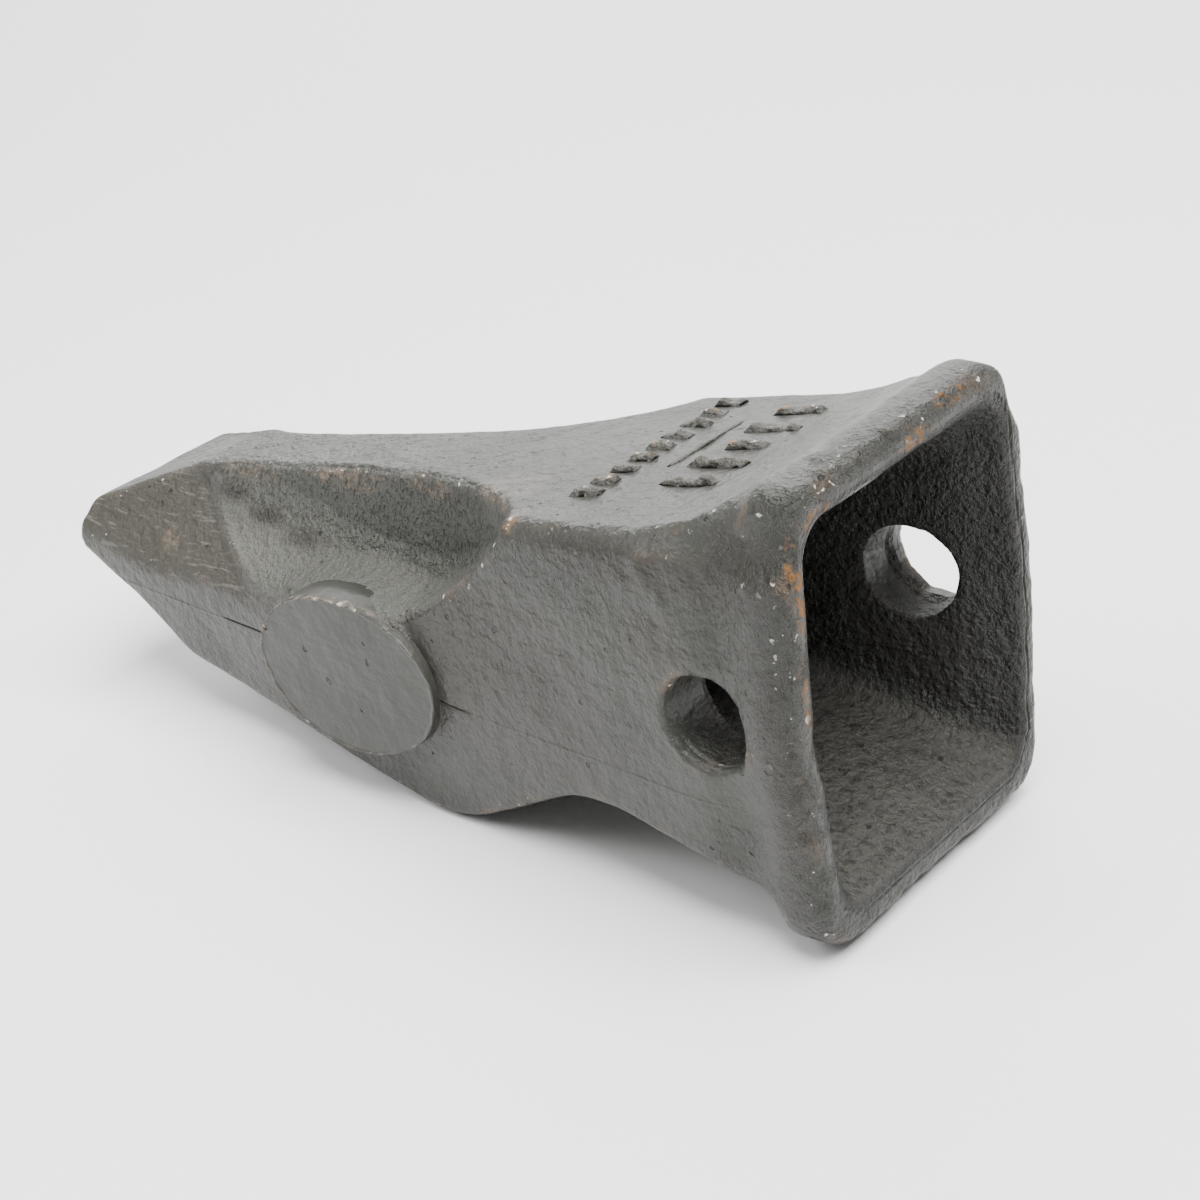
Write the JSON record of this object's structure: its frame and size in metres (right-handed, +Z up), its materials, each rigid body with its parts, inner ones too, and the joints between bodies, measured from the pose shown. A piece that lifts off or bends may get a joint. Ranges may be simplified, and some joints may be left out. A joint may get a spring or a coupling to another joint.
{
  "type": "excavator bucket tooth",
  "caption": "Side-pinned rock tooth for an excavator bucket: a cast steel wedge with a central rib, a chisel point, a flared collar and a tapered socket.",
  "frame": {"origin": "middle of the cross pin hole, where its axis meets the tooth's middle plane", "axes": "+X out of the socket's mouth, the chisel point at -X; +Y along the pin hole; +Z up, from the heel to the back with the rib"},
  "size_m": [0.27, 0.096, 0.112],
  "materials": {
    "painted_cast_steel": "satin grey dip paint over sand-cast steel, pitted, with rust at the edges",
    "painted_ground_steel": "satin grey paint over a coarsely ground face",
    "painted_cast_steel_marks": "satin grey paint over raised cast marks, rusty on their tops"
  },
  "bodies": {
    "root": {"tooth_casting": "painted_cast_steel", "feeder_stub": "painted_ground_steel", "cast_marks": "painted_cast_steel_marks"}
  },
  "joints": []
}
